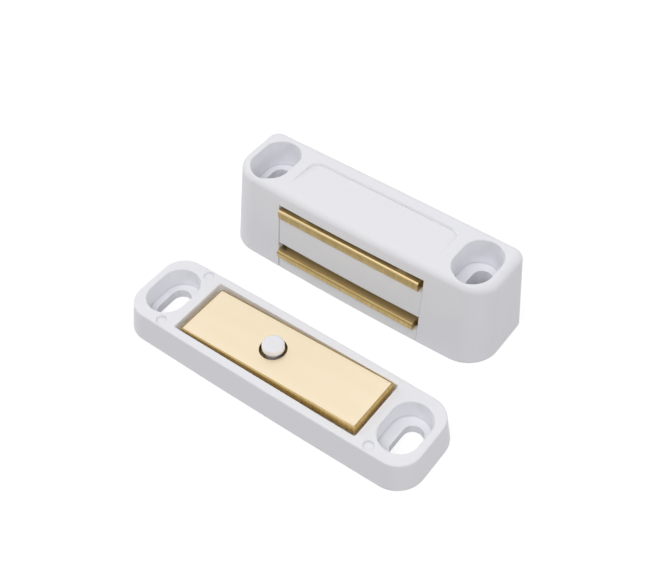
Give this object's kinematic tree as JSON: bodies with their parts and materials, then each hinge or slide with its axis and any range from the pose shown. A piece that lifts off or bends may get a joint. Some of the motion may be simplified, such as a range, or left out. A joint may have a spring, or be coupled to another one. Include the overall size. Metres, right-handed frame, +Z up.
{
  "type": "magnetic catch",
  "caption": "Magnetic cupboard catch: a white plastic magnet housing with brass-coloured poles, and its strike holder with a loose plate.",
  "frame": {"origin": "middle of the pair's footprint, on the plane of both screw-down bases", "axes": "+X along both units, +Y from the strike towards the back of the catch, +Z up away from the bases"},
  "size_m": [0.07, 0.0508, 0.0208],
  "materials": {
    "white_plastic": "moulded, satin",
    "plated_pole": "sheared and plated",
    "plated_strike": "rolled and plated, satin",
    "ferrite": "pressed and sintered, matt"
  },
  "bodies": {
    "units": {"housing": "white_plastic", "base_cover": "white_plastic", "strike_holder": "white_plastic"},
    "magnet_pack": {"magnet": "ferrite", "magnet_carrier": "white_plastic", "upper_pole_plate": "plated_pole", "lower_pole_plate": "plated_pole"},
    "strike_plate": {"strike_plate": "plated_strike"}
  },
  "joints": [
    {"name": "magnet_float", "type": "slide", "parent": "units", "child": "magnet_pack", "axis": [0, 1, 0], "range_m": [0, 0.0006]},
    {"name": "strike_plate_rock", "type": "hinge", "parent": "units", "child": "strike_plate", "pos_m": [-0.0025, -0.01558, 0.00491], "axis": [0, 1, 0], "range_deg": [0, 3.9]}
  ]
}
